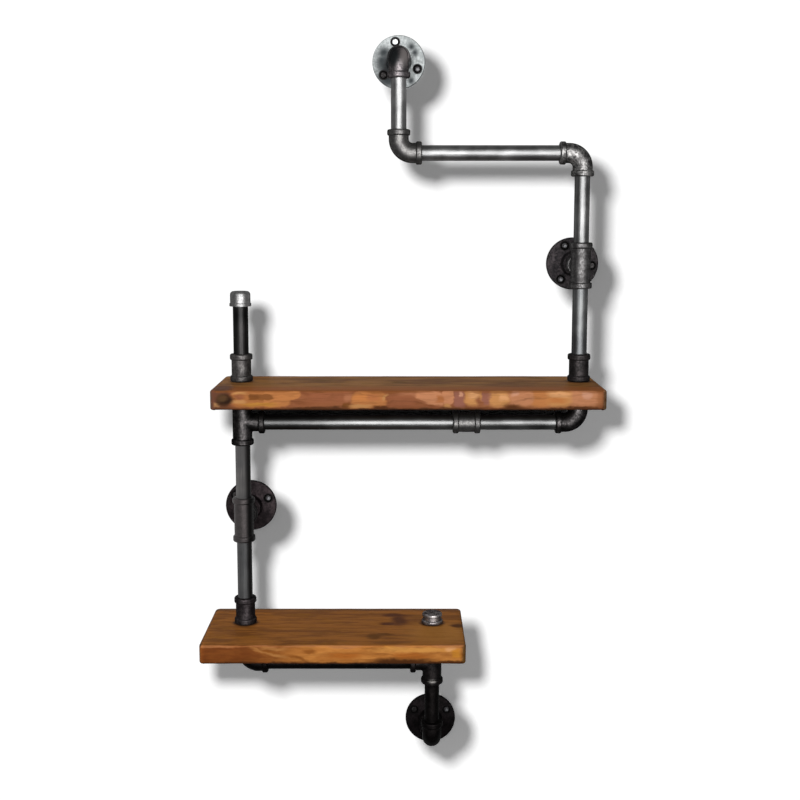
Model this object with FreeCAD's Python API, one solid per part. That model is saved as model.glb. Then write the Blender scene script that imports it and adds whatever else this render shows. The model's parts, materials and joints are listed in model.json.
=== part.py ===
import FreeCAD, Part
import math
import os

# Wall shelf made of one bent line of threaded pipe that carries two planks.
# Millimetres, +Z up. The wall is the plane y = 0 and the shelf stands out to -Y.
# The origin is the centre of the top flange's wall face.

# Pipe: half inch steel tube and the way its ends sit in the fittings
pipe_od = 21.3
pipe_wall = 2.6
thread_reach = 13.0
thread_clearance = 0.1
socket_spare = 1.0

# Cast elbows, tees and straight sockets, with a rounded band at each mouth
fitting_reach = 32.0
fitting_body_od = 27.6
bend_radius = 19.0
band_od = 31.8
band_length = 8.5
band_round = 2.4
tee_blend = 3.0
branch_share = 0.93
socket_length = 39.0

# End caps: the tall domed one on the post and the low ribbed one on the lower plank
cap_top = 2.6
cap_end_gap = 0.3
cap_od = 28.4
cap_lip_od = 30.4
cap_lip_length = 4.5
cap_lip_round = 1.2
cap_round = 5.0
tall_cap_height = 21.0
low_cap_waist_od = 25.8
low_cap_rib_od = 28.6
low_cap_foot_od = 30.4
low_cap_rib_length = 5.0
low_cap_rib_round = 1.6
low_cap_height = 14.5

# Wall flanges: a disc that rises to a hub, with countersunk screw holes
flange_od = 76.0
flange_edge = 5.0
flange_edge_round = 1.8
flange_rise = 2.6
hub_od = 33.0
hub_height = 22.0
hub_round = 2.0
hub_blend = 3.0
screw_circle = 57.0
screw_count = 3
screw_hole = 7.0
screw_recess = 12.0
screw_recess_depth = 2.6
top_screw_angle = 100.0
right_screw_angle = 114.0
left_screw_angle = 24.0
bottom_screw_angle = 30.0

# Planks
board_reach = 174.0
board_thickness = 27.0
upper_board_depth = 147.0
lower_board_depth = 153.0
board_corner = 8.0
board_arris = 3.0
board_hole_clearance = 0.3
upper_left_overhang = 31.0
upper_right_overhang = 25.0
lower_left_overhang = 53.0
lower_right_overhang = 44.4

# Layout of the pipe line, measured between pipe axes and plank faces
standoff = 82.0
top_drop = 133.0
cross_span = 254.0
right_tee_drop = 154.7
upper_shelf_drop = 162.8
shelf_span = 476.0
under_socket_offset = 158.0
left_tee_drop = 140.7
lower_shelf_drop = 153.8
lower_span = 270.4
bottom_drop = 122.0
post_rise = 67.2

# Overrun of every cut past the face it opens
cut_overrun = 1.0

# Radii
pipe_r = pipe_od / 2
bore_r = pipe_r - pipe_wall
socket_r = pipe_r + thread_clearance
body_r = fitting_body_od / 2
band_r = band_od / 2
flange_r = flange_od / 2
hub_r = hub_od / 2
socket_depth = thread_reach + socket_spare

# Heights of the pipe axes and plank faces
z_cross = -top_drop
z_right_tee = z_cross - right_tee_drop
z_upper_top = z_right_tee - upper_shelf_drop
z_upper_under = z_upper_top - board_thickness
z_under_pipe = z_upper_under - fitting_reach
z_left_tee = z_under_pipe - left_tee_drop
z_lower_top = z_left_tee - lower_shelf_drop
z_lower_under = z_lower_top - board_thickness
z_lower_pipe = z_lower_under - fitting_reach
z_bottom = z_lower_pipe - bottom_drop

# Columns
x_right = cross_span
x_left = x_right - shelf_span
x_lower = x_left + lower_span
x_under_socket = x_right - under_socket_offset

Vector = FreeCAD.Vector
UP = Vector(0, 0, 1)
DOWN = Vector(0, 0, -1)
LEFT = Vector(-1, 0, 0)
RIGHT = Vector(1, 0, 0)
TO_WALL = Vector(0, 1, 0)
OFF_WALL = Vector(0, -1, 0)
RIGHT_ANGLE = 90
FULL_TURN = 360


def on_line(x, z):
    """A point of the pipe line, at its distance from the wall."""
    return Vector(x, -standoff, z)


def rod(radius, start, end):
    return Part.makeCylinder(radius, (end - start).Length, start, end - start)


def pipe(start, end):
    """A length of tube between its two cut ends."""
    overrun = (end - start).normalize() * cut_overrun
    return rod(pipe_r, start, end).cut(rod(bore_r, start - overrun, end + overrun))


def ring(mouth, outward, radius, length, rounding):
    """A collar with rounded rims that ends at a mouth."""
    collar = rod(radius, mouth - outward * length, mouth)
    rims = [edge for edge in collar.Edges if edge.Curve.TypeId == "Part::GeomCircle"]
    return collar.makeFillet(rounding, rims)


def band(mouth, outward):
    """The rounded band round a fitting's mouth."""
    return ring(mouth, outward, band_r, band_length, band_round)


def mouth_cut(mouth, outward):
    """The hole that a pipe end screws into."""
    return rod(socket_r, mouth - outward * socket_depth, mouth + outward * cut_overrun)


def cast(body, passage, centre, arms):
    """A hollow fitting: a body with a banded mouth at the end of each arm."""
    mouths = [(centre + arm * fitting_reach, arm) for arm in arms]
    outside = body.fuse([band(*mouth) for mouth in mouths])
    inside = passage.fuse([mouth_cut(*mouth) for mouth in mouths])
    return outside.cut(inside).removeSplitter()


def bent_rod(radius, centre, arm_a, arm_b):
    """A round bar that runs in along one arm, round the bend and out along the other."""
    start = centre + arm_a * bend_radius
    end = centre + arm_b * bend_radius
    turn_centre = start + arm_b * bend_radius
    disc = Part.Face(Part.Wire(Part.makeCircle(radius, start, arm_a)))
    bend = disc.revolve(turn_centre, arm_b.cross(arm_a), RIGHT_ANGLE)
    runs = [rod(radius, start, centre + arm_a * fitting_reach)]
    runs.append(rod(radius, end, centre + arm_b * fitting_reach))
    return bend.fuse(runs)


def elbow(centre, arm_a, arm_b):
    body = bent_rod(body_r, centre, arm_a, arm_b)
    passage = bent_rod(bore_r, centre, arm_a, arm_b)
    return cast(body, passage, centre, [arm_a, arm_b])


def tee(centre, run, branch):
    """A tee whose slightly slimmer branch blends into the run."""
    ends = [centre - run * fitting_reach, centre + run * fitting_reach]
    side = centre + branch * fitting_reach
    solid = rod(body_r, *ends).fuse(rod(body_r * branch_share, centre, side))
    saddle = [edge for edge in solid.Edges if edge.Curve.TypeId == "Part::GeomBSplineCurve"]
    body = solid.makeFillet(tee_blend, saddle)
    passage = rod(bore_r, *ends).fuse(rod(bore_r, centre, side))
    return cast(body, passage, centre, [run * -1, run, branch])


def straight_socket(start, along):
    """A straight coupling with a band at both ends."""
    end = start + along * socket_length
    outside = rod(body_r, start, end).fuse([band(start, along * -1), band(end, along)])
    mouths = [mouth_cut(start, along * -1), mouth_cut(end, along)]
    return outside.cut(rod(bore_r, start, end).fuse(mouths)).removeSplitter()


def cap_bore(base, height):
    """The hole in a cap, closed at the top."""
    return rod(socket_r, base - UP * cut_overrun, base + UP * (height - cap_top))


def domed_cap(base):
    """The post's cap, with a rounded crown and a lip at its mouth."""
    crown = rod(cap_od / 2, base, base + UP * tall_cap_height)
    rim = max(crown.Edges, key=lambda edge: edge.CenterOfMass.z)
    lip = rod(cap_lip_od / 2, base, base + UP * cap_lip_length)
    lip_rim = max(lip.Edges, key=lambda edge: edge.CenterOfMass.z)
    outside = crown.makeFillet(cap_round, [rim]).fuse(lip.makeFillet(cap_lip_round, [lip_rim]))
    return outside.cut(cap_bore(base, tall_cap_height)).removeSplitter()


def ribbed_cap(base):
    """The lower plank's cap, with a waist between a crown rib and a wider foot."""
    crown = base + UP * low_cap_height
    foot = ring(base, DOWN, low_cap_foot_od / 2, low_cap_rib_length, low_cap_rib_round)
    rib = ring(crown, UP, low_cap_rib_od / 2, low_cap_rib_length, low_cap_rib_round)
    outside = rod(low_cap_waist_od / 2, base, crown).fuse([foot, rib])
    return outside.cut(cap_bore(base, low_cap_height)).removeSplitter()


def cap_seat(base, height):
    """Where the pipe ends inside a cap."""
    return base + UP * (height - cap_top - cap_end_gap)


def flange_profile():
    """Half section of a flange: across is the radius, up is the distance from the wall."""
    face_r = flange_r - flange_edge_round
    blend_r = hub_r + hub_blend
    hub_foot = flange_edge + flange_rise
    half = math.sqrt(0.5)
    edge_inset = flange_edge_round * (1 - half)
    blend_inset = hub_blend * (1 - half)
    hub_inset = hub_round * (1 - half)
    points = {
        "bore_back": (socket_r, 0),
        "edge_back": (flange_r, 0),
        "edge_front": (flange_r, flange_edge - flange_edge_round),
        "edge_mid": (flange_r - edge_inset, flange_edge - edge_inset),
        "face_out": (face_r, flange_edge),
        "face_in": (blend_r, hub_foot),
        "blend_mid": (hub_r + blend_inset, hub_foot + blend_inset),
        "hub_low": (hub_r, hub_foot + hub_blend),
        "hub_high": (hub_r, hub_height - hub_round),
        "hub_mid": (hub_r - hub_inset, hub_height - hub_inset),
        "hub_top": (hub_r - hub_round, hub_height),
        "bore_front": (socket_r, hub_height),
    }
    at = {name: Vector(across, -out, 0) for name, (across, out) in points.items()}
    edges = [
        Part.LineSegment(at["bore_back"], at["edge_back"]),
        Part.LineSegment(at["edge_back"], at["edge_front"]),
        Part.Arc(at["edge_front"], at["edge_mid"], at["face_out"]),
        Part.LineSegment(at["face_out"], at["face_in"]),
        Part.Arc(at["face_in"], at["blend_mid"], at["hub_low"]),
        Part.LineSegment(at["hub_low"], at["hub_high"]),
        Part.Arc(at["hub_high"], at["hub_mid"], at["hub_top"]),
        Part.LineSegment(at["hub_top"], at["bore_front"]),
        Part.LineSegment(at["bore_front"], at["bore_back"]),
    ]
    return Part.Face(Part.Wire([edge.toShape() for edge in edges]))


def screw_cut(angle):
    """One countersunk screw hole, at its angle round the flange."""
    turn = math.radians(angle)
    across = Vector(math.cos(turn), 0, math.sin(turn)) * (screw_circle / 2)
    slope_share = (flange_r - screw_circle / 2) / (flange_r - hub_r)
    face = flange_edge + flange_rise * slope_share
    sink = across + OFF_WALL * (face - screw_recess_depth)
    mouth = across + OFF_WALL * face
    above = across + OFF_WALL * hub_height
    hole = rod(screw_hole / 2, across + TO_WALL * cut_overrun, above)
    cone = Part.makeCone(screw_hole / 2, screw_recess / 2, screw_recess_depth, sink, OFF_WALL)
    return hole.fuse([cone, rod(screw_recess / 2, mouth, above)])


def flange(x, z, first_angle):
    disc = flange_profile().revolve(Vector(0, 0, 0), OFF_WALL, FULL_TURN)
    step = FULL_TURN / screw_count
    disc = disc.cut([screw_cut(first_angle + step * i) for i in range(screw_count)])
    disc.translate(Vector(x, 0, z))
    return disc


def board(x_low, x_high, z_top, depth, holes):
    """A plank with rounded corners and eased edges, drilled for the pipes that pass it."""
    corner = Vector(x_low, -board_reach, z_top - board_thickness)
    plank = Part.makeBox(x_high - x_low, depth, board_thickness, corner)
    upright = [e for e in plank.Edges if abs(e.tangentAt(e.FirstParameter).z) > math.sqrt(0.5)]
    plank = plank.makeFillet(board_corner, upright)
    level = [e for e in plank.Edges if e.BoundBox.ZLength < board_thickness / 2]
    plank = plank.makeFillet(board_arris, level)
    for x in holes:
        low = on_line(x, z_top - board_thickness - cut_overrun)
        plank = plank.cut(rod(pipe_r + board_hole_clearance, low, on_line(x, z_top + cut_overrun)))
    return plank


def arm_end(centre, arm):
    """Where a pipe stops inside an arm of an elbow or tee."""
    return centre + arm * (fitting_reach - thread_reach)


def wall_nipple(centre):
    """The pipe between a wall flange and the fitting in front of it."""
    hub_end = Vector(centre.x, -(hub_height - thread_reach), centre.z)
    return pipe(hub_end, arm_end(centre, TO_WALL))


# Centres of the elbows and tees, and the feet of the sockets and caps on the planks
top_corner = on_line(0, 0)
cross_left = on_line(0, z_cross)
cross_right = on_line(x_right, z_cross)
right_branch = on_line(x_right, z_right_tee)
under_right = on_line(x_right, z_under_pipe)
under_left = on_line(x_left, z_under_pipe)
left_branch = on_line(x_left, z_left_tee)
lower_left = on_line(x_left, z_lower_pipe)
lower_right = on_line(x_lower, z_lower_pipe)
bottom_corner = on_line(x_lower, z_bottom)
right_foot = on_line(x_right, z_upper_top)
post_foot = on_line(x_left, z_upper_top)
lower_foot = on_line(x_left, z_lower_top)
low_cap_foot = on_line(x_lower, z_lower_top)
under_socket_left = on_line(x_under_socket - socket_length / 2, z_under_pipe)
under_socket_right = on_line(x_under_socket + socket_length / 2, z_under_pipe)
post_cap_foot = post_foot + UP * (socket_length + post_rise)
into_socket = UP * thread_reach
socket_top = UP * (socket_length - thread_reach)

nodes = {
    "top_flange": flange(0, 0, top_screw_angle),
    "top_flange_nipple": wall_nipple(top_corner),
    "top_elbow": elbow(top_corner, TO_WALL, DOWN),
    "top_drop_pipe": pipe(arm_end(top_corner, DOWN), arm_end(cross_left, UP)),
    "upper_left_elbow": elbow(cross_left, UP, RIGHT),
    "top_cross_pipe": pipe(arm_end(cross_left, RIGHT), arm_end(cross_right, LEFT)),
    "upper_right_elbow": elbow(cross_right, LEFT, DOWN),
    "right_pipe_upper": pipe(arm_end(cross_right, DOWN), arm_end(right_branch, UP)),
    "right_tee": tee(right_branch, UP, TO_WALL),
    "right_flange_nipple": wall_nipple(right_branch),
    "right_flange": flange(x_right, z_right_tee, right_screw_angle),
    "right_pipe_lower": pipe(arm_end(right_branch, DOWN), right_foot + socket_top),
    "right_board_socket": straight_socket(right_foot, UP),
    "right_board_nipple": pipe(right_foot + into_socket, arm_end(under_right, UP)),
    "right_under_elbow": elbow(under_right, UP, LEFT),
    "under_pipe_right": pipe(arm_end(under_right, LEFT), under_socket_right + LEFT * thread_reach),
    "under_socket": straight_socket(under_socket_left, RIGHT),
    "under_pipe_left": pipe(under_socket_left + RIGHT * thread_reach, arm_end(under_left, RIGHT)),
    "left_under_tee": tee(under_left, UP, RIGHT),
    "left_board_nipple": pipe(arm_end(under_left, UP), post_foot + into_socket),
    "left_board_socket": straight_socket(post_foot, UP),
    "stub_pipe": pipe(post_foot + socket_top, cap_seat(post_cap_foot, tall_cap_height)),
    "stub_cap": domed_cap(post_cap_foot),
    "left_pipe_upper": pipe(arm_end(under_left, DOWN), arm_end(left_branch, UP)),
    "left_tee": tee(left_branch, UP, TO_WALL),
    "left_flange_nipple": wall_nipple(left_branch),
    "left_flange": flange(x_left, z_left_tee, left_screw_angle),
    "left_pipe_lower": pipe(arm_end(left_branch, DOWN), lower_foot + socket_top),
    "lower_board_socket": straight_socket(lower_foot, UP),
    "lower_board_nipple_left": pipe(lower_foot + into_socket, arm_end(lower_left, UP)),
    "lower_under_elbow": elbow(lower_left, UP, RIGHT),
    "lower_under_pipe": pipe(arm_end(lower_left, RIGHT), arm_end(lower_right, LEFT)),
    "lower_under_tee": tee(lower_right, UP, LEFT),
    "lower_board_nipple_right": pipe(arm_end(lower_right, UP), cap_seat(low_cap_foot, low_cap_height)),
    "lower_board_cap": ribbed_cap(low_cap_foot),
    "bottom_nipple": pipe(arm_end(lower_right, DOWN), arm_end(bottom_corner, UP)),
    "bottom_elbow": elbow(bottom_corner, UP, TO_WALL),
    "bottom_flange_nipple": wall_nipple(bottom_corner),
    "bottom_flange": flange(x_lower, z_bottom, bottom_screw_angle),
    "upper_board": board(
        x_left - upper_left_overhang, x_right + upper_right_overhang, z_upper_top,
        upper_board_depth, [x_left, x_right],
    ),
    "lower_board": board(
        x_left - lower_left_overhang, x_lower + lower_right_overhang, z_lower_top,
        lower_board_depth, [x_left, x_lower],
    ),
}

os.makedirs("parts", exist_ok=True)
for name, shape in nodes.items():
    shape.exportStep(f"parts/{name}.step")
    print(name, len(shape.Solids), "solid", round(shape.Volume), "mm3", "valid" if shape.isValid() else "BAD")
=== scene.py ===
# %% [markdown]
# # A pipe shelf on a white wall
# The shelf is one bent line of threaded pipe, screwed to the wall by four flanges, and it carries two
# stained planks. Its solids come from the CAD model, which is loaded as a fixed frame: metres, +Z up, the
# wall is the plane y = 0 and the room is on the -Y side. Nothing on it moves, so the screws and planks made
# here ride on the one body, root.

# %% Load the frame
import bmesh
import bpy
import json
import math
from mathutils import Matrix, Vector


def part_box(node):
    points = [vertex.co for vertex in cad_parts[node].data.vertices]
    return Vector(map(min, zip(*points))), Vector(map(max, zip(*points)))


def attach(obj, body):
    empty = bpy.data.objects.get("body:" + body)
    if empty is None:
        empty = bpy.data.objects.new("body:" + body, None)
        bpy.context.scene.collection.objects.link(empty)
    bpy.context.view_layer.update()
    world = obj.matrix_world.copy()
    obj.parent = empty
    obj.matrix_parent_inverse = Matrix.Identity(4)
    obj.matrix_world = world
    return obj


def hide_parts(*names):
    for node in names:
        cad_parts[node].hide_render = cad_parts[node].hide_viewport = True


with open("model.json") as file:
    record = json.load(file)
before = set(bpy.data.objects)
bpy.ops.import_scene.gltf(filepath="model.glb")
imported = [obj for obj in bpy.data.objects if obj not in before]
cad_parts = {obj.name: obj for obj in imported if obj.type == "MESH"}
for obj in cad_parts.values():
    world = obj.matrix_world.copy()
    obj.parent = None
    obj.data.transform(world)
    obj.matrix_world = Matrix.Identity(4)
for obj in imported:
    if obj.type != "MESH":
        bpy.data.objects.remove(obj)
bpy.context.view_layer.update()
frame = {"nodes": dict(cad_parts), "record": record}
scene = bpy.context.scene
MM = 0.001

# %% [markdown]
# The camera comes first, because every colour and edge is judged through it. The photograph was taken from
# about 1.7 m in front of the wall, a little below the cross pipe and tilted down by some degrees. A fit to
# the flanges, pipes and planks gave its focal length in pixels, so the lens follows from the sensor width.
# The photograph is cropped a little off its optical axis, so a small lens shift stands for the crop.

# %% Camera
IMAGE_PIXELS = 800
FOCAL_PIXELS = 1127.9
AXIS_PIXELS_ABOVE_CENTRE = 40
SENSOR_MM = 36
CAMERA_PLACE = Vector((0.0018, -1.6606, -0.2270))
CAMERA_TILT_DOWN = math.radians(6.99)
RIGHT_ANGLE = math.radians(90)

lens = bpy.data.cameras.new("camera")
lens.sensor_width = SENSOR_MM
lens.lens = SENSOR_MM * FOCAL_PIXELS / IMAGE_PIXELS
lens.shift_y = -AXIS_PIXELS_ABOVE_CENTRE / IMAGE_PIXELS
camera = bpy.data.objects.new("camera", lens)
camera.location = CAMERA_PLACE
camera.rotation_euler = (RIGHT_ANGLE - CAMERA_TILT_DOWN, 0, 0)
scene.collection.objects.link(camera)
scene.camera = camera
scene.view_settings.view_transform = "Standard"
print("lens", round(lens.lens, 2), "mm")

# %% [markdown]
# Colours are written as sRGB hex values, as a paint chart gives them, but shaders work in linear light. One
# function turns the one into the other, by the sRGB standard's own curve. Every material is a small tree of
# nodes, so a second function adds a node, sets its options and sockets, and links what feeds it. With it,
# each tree reads from top to bottom.

# %% Colour and node helpers
def linear(hex_colour):
    """An sRGB hex colour as linear RGBA."""
    shares = [int(hex_colour[i:i + 2], 16) / 255 for i in (1, 3, 5)]
    return [s / 12.92 if s <= 0.04045 else ((s + 0.055) / 1.055) ** 2.4 for s in shares] + [1]


def add(tree, kind, settings, links):
    """Adds a node. Settings go to its options or free sockets, links bring outputs to its sockets."""
    made = tree.nodes.new(kind)
    for key, value in settings.items():
        if isinstance(key, int) or key in made.inputs:
            made.inputs[key].default_value = value
        else:
            setattr(made, key, value)
    for key, source in links.items():
        tree.links.new(source, made.inputs[key])
    return made


def blank(name):
    """A new material with an empty tree, and that tree."""
    material = bpy.data.materials.new(name)
    material.use_nodes = True
    material.node_tree.nodes.clear()
    return material, material.node_tree


def dress(piece, material):
    """Gives a piece one material in place of what it had."""
    piece.data.materials.clear()
    piece.data.materials.append(material)


print("mid grey 808080 is", round(linear("#808080")[0], 3), "in linear light")

# %% [markdown]
# The light on the wall. In the photograph each piece throws a soft shadow to the right and down, all
# shadows lie equally far from what throws them, and the wall is pure white. A lamp as far from the wall as
# the camera, up and to its left, gives that: the shift of a shadow, as the camera sees it, then depends
# only on how far its piece stands off the wall. It lights the wall only. A faint twin of it, which no piece
# of the shelf blocks, fills the shadows.

# %% Lamps for the wall
def lamp(name, kind, place, watts, size):
    """A lamp that the camera doesn't see. Its size is a point lamp's radius or an area lamp's side."""
    light = bpy.data.lights.new(name, kind)
    light.energy = watts
    if kind == "AREA":
        light.size = size
    else:
        light.shadow_soft_size = size
    made = bpy.data.objects.new(name, light)
    made.location = place
    made.visible_camera = False
    scene.collection.objects.link(made)
    return made


UP_LEFT_OF_CAMERA = Vector((-0.505, 0, 0.508))
WALL_LAMP_PLACE = CAMERA_PLACE + UP_LEFT_OF_CAMERA
WALL_LAMP_WATTS = 137
SHADOW_FILL_WATTS = 19
WALL_LAMP_R = 0.21
wall_lamp = lamp("wall_lamp", "POINT", WALL_LAMP_PLACE, WALL_LAMP_WATTS, WALL_LAMP_R)
shadow_fill = lamp("shadow_fill", "POINT", WALL_LAMP_PLACE, SHADOW_FILL_WATTS, WALL_LAMP_R)
print("wall lamp", [round(c, 3) for c in WALL_LAMP_PLACE])

# %% [markdown]
# The light on the shelf. A lamp farther to the left lights only the shelf, so that the round pieces fall
# off into shade on their right. The broad bright streak along each pipe is a large soft box behind the
# camera. It only shows in reflections, so it adds hardly any light to the wood. The room round the shelf is
# a dim grey. A last lamp stands behind the wall, which doesn't block it, and only reaches the backs of the
# pieces, so that they can be looked at too. What each lamp lights, and what blocks it, is set near the end,
# when all is made.

# %% Lamps for the shelf, and the room
SHELF_LAMP_PLACE = (-3.0, -2.7, 1.0)
SHELF_LAMP_WATTS = 1018
BACK_LAMP_PLACE = (-0.3, 2.6, -0.62)
BACK_LAMP_WATTS = 230
BROAD_LAMP_R = 1.0
shelf_lamp = lamp("shelf_lamp", "POINT", SHELF_LAMP_PLACE, SHELF_LAMP_WATTS, BROAD_LAMP_R)
shelf_lamp.visible_glossy = False
back_lamp = lamp("back_lamp", "POINT", BACK_LAMP_PLACE, BACK_LAMP_WATTS, BROAD_LAMP_R)
back_lamp.visible_glossy = False

BOX_PLACE = (0.3, -2.1, -0.15)
BOX_SIDE = 2
BOX_RADIANCE = 16
soft_box = lamp("soft_box", "AREA", BOX_PLACE, BOX_RADIANCE * math.pi * BOX_SIDE ** 2, BOX_SIDE)
soft_box.rotation_euler = (RIGHT_ANGLE, 0, 0)
soft_box.visible_diffuse = False

ROOM_GREY = 0.16
room = bpy.data.worlds.new("room")
scene.world = room
room.use_nodes = True
room.node_tree.nodes["Background"].inputs["Color"].default_value = (ROOM_GREY, ROOM_GREY, ROOM_GREY, 1)
print("soft box", round(soft_box.data.energy, 1), "W")

# %% [markdown]
# The wall is a plane that the flanges stand on. A lamp this near lights the wall's top more than its foot,
# and the photograph's wall is one even white. So the paint is graded the other way: the lamp's light falls
# off on a flat wall with the cube of the distance, and the paint's share of reflected light makes up for
# it. The shadows stay, because they are missing light. For light that bounces about, the paint counts as a
# dark one, so that the wall doesn't flood the shelf. From behind, the wall is see-through, so that the
# flanges' backs can be looked at.

# %% Wall
WALL_SIDE = 40
WALL_GAP = 0.4 * MM
WALL_MIDDLE_Z = -0.5
bpy.ops.object.select_all(action="DESELECT")
bpy.ops.mesh.primitive_plane_add(
    size=WALL_SIDE, location=(0, WALL_GAP, WALL_MIDDLE_Z), rotation=(RIGHT_ANGLE, 0, 0))
wall = bpy.context.object
wall.name = "wall"
bpy.ops.object.transform_apply(location=True, rotation=True, scale=True)
print("wall normal", [round(c, 2) for c in wall.data.polygons[0].normal])

# %% Wall paint
# A little over 1, so that the wall is pure white in the render
WHITE = 1.08
WALL_BOUNCE = 0.15
FALL_OFF_POWER = 3
# White paint that faces a point lamp of 1 W from 1 m sends back this much light
LIGHT_PER_WATT = 1 / (4 * math.pi ** 2)
lamp_light = (WALL_LAMP_WATTS + SHADOW_FILL_WATTS) * LIGHT_PER_WATT * -WALL_LAMP_PLACE.y
paint, tree = blank("matt_white_wall_paint")
place = add(tree, "ShaderNodeTexCoord", {}, {})
away = add(tree, "ShaderNodeVectorMath", {"operation": "DISTANCE", 1: WALL_LAMP_PLACE},
           {0: place.outputs["Object"]})
cube = add(tree, "ShaderNodeMath", {"operation": "POWER", 1: FALL_OFF_POWER}, {0: away.outputs["Value"]})
lit = add(tree, "ShaderNodeMath", {"operation": "DIVIDE", 0: lamp_light}, {1: cube.outputs[0]})
lit = add(tree, "ShaderNodeMath", {"operation": "ADD", 1: ROOM_GREY}, {0: lit.outputs[0]})
share = add(tree, "ShaderNodeMath", {"operation": "DIVIDE", 0: WHITE}, {1: lit.outputs[0]})
path = add(tree, "ShaderNodeLightPath", {}, {})
matt = add(tree, "ShaderNodeMix", {"data_type": "FLOAT", 3: WALL_BOUNCE},
           {0: path.outputs["Is Diffuse Ray"], 2: share.outputs[0]})
front = add(tree, "ShaderNodeBsdfDiffuse", {}, {"Color": matt.outputs[0]})
back = add(tree, "ShaderNodeBsdfTransparent", {}, {})
side = add(tree, "ShaderNodeNewGeometry", {}, {})
shader = add(tree, "ShaderNodeMixShader", {},
             {0: side.outputs["Backfacing"], 1: front.outputs[0], 2: back.outputs[0]})
add(tree, "ShaderNodeOutputMaterial", {}, {"Surface": shader.outputs[0]})
wall.data.materials.append(paint)
print("wall paint nodes", len(tree.nodes))

# %% [markdown]
# Some helpers serve every finish. One makes an uneven pattern whose spots have a size in millimetres. One
# measures how far a point is from the nearest of some marks, which places knots, patches and stains. One
# lays a colour over another where a value passes from one number to another, and one does so for rows of
# marks. A mark is a centre, radii and a turn. Most go right through: a mark seen from the front is placed
# by x and z, and one seen from above by x and y.

# %% Pattern helpers
# A radius in millimetres with which a mark goes right through
FAR = 1e5
NOISE_ROUGHNESS = 0.6
FOURTH_ROOT = 0.25


def on_front(x, z, half_width, half_height, tilt=0):
    """A mark seen from the front, in millimetres. A tilt in degrees lifts its right end."""
    return (x, 0, z), (half_width, FAR, half_height), (0, -tilt, 0)


def on_top(x, y, half_width, half_depth):
    """A mark seen from above, in millimetres."""
    return (x, y, 0), (half_width, half_depth, FAR), (0, 0, 0)


def mottle(tree, place, size_mm, detail):
    """An uneven pattern whose spots have a size in millimetres along x, y and z."""
    sized = add(tree, "ShaderNodeMapping", {"Scale": [1 / (s * MM) for s in size_mm]}, {"Vector": place})
    return add(tree, "ShaderNodeTexNoise", {"Scale": 1, "Detail": detail, "Roughness": NOISE_ROUGHNESS},
               {"Vector": sized.outputs[0]})


def reach(tree, place, marks, boxy=False):
    """The distance from the nearest mark, where 1 is on its rim. Boxy marks have squarer corners."""
    nearest = None
    for centre, radii, turn in marks:
        local = add(tree, "ShaderNodeMapping", {
            "vector_type": "TEXTURE", "Location": Vector(centre) * MM, "Scale": Vector(radii) * MM,
            "Rotation": [math.radians(t) for t in turn]}, {"Vector": place}).outputs[0]
        if boxy:
            squares = add(tree, "ShaderNodeVectorMath", {"operation": "MULTIPLY"}, {0: local, 1: local})
            fourths = add(tree, "ShaderNodeVectorMath", {"operation": "DOT_PRODUCT"},
                          {0: squares.outputs[0], 1: squares.outputs[0]})
            away = add(tree, "ShaderNodeMath", {"operation": "POWER", 1: FOURTH_ROOT},
                       {0: fourths.outputs["Value"]}).outputs[0]
        else:
            away = add(tree, "ShaderNodeVectorMath", {"operation": "LENGTH"}, {0: local}).outputs["Value"]
        if nearest:
            away = add(tree, "ShaderNodeMath", {"operation": "MINIMUM"}, {0: nearest, 1: away}).outputs[0]
        nearest = away
    return nearest


def lay(tree, under, over, value, start, end, most=1):
    """Lays a colour over another as a value goes from start to end. Colours are hex values or outputs."""
    span = {"interpolation_type": "SMOOTHSTEP", "From Min": start, "From Max": end, "To Max": most}
    amount = add(tree, "ShaderNodeMapRange", span, {"Value": value})
    settings, links = {"data_type": "RGBA"}, {0: amount.outputs[0]}
    for socket, colour in ((6, under), (7, over)):
        if isinstance(colour, str):
            settings[socket] = linear(colour)
        else:
            links[socket] = colour
    return add(tree, "ShaderNodeMix", settings, links).outputs[2]


def lay_marks(tree, colour, place, rows, boxy=False):
    """Lays rows of marks over a colour. A row is a tone, the softness of its rims, and its marks."""
    for tone, soft, marks in rows:
        colour = lay(tree, colour, tone, reach(tree, place, marks, boxy), 1 + soft, 1 - soft)
    return colour


print("a mark:", on_front(0, 0, 5, 5))

# %% [markdown]
# The pipe is drawn steel tube with a thin dark oxide on it. Up close it has fine marks along its length and
# a slow wobble from drawing, which break up its streak of light. The oxide reflects little, so the pipe is
# nearly black at its edges and white along the streak. The marks have to run along each pipe, and a node's
# coordinates don't know which way that is, so each steel is made three times: level, out from the wall, and
# upright.

# %% Drawn steel
# The marks are drawn coarser than real ones, so that they show
MARK_MM, MARK_LENGTH_MM, MARK_DETAIL = 1.2, 60, 4
MARK_DEPTH, MARK_STRENGTH = 0.2 * MM, 0.12
WOBBLE_MM, WOBBLE_DETAIL = 35, 2
WOBBLE_DEPTH = 1.5 * MM
STAIN_SPAN = (0.12, 0.4)
STEEL_DULL_SPREAD = 0.06
OXIDE_SHINE = 0.1
# Nearly all of a noise pattern lies between these values
NOISE_LOW, NOISE_HIGH = 0.2, 0.8


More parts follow.
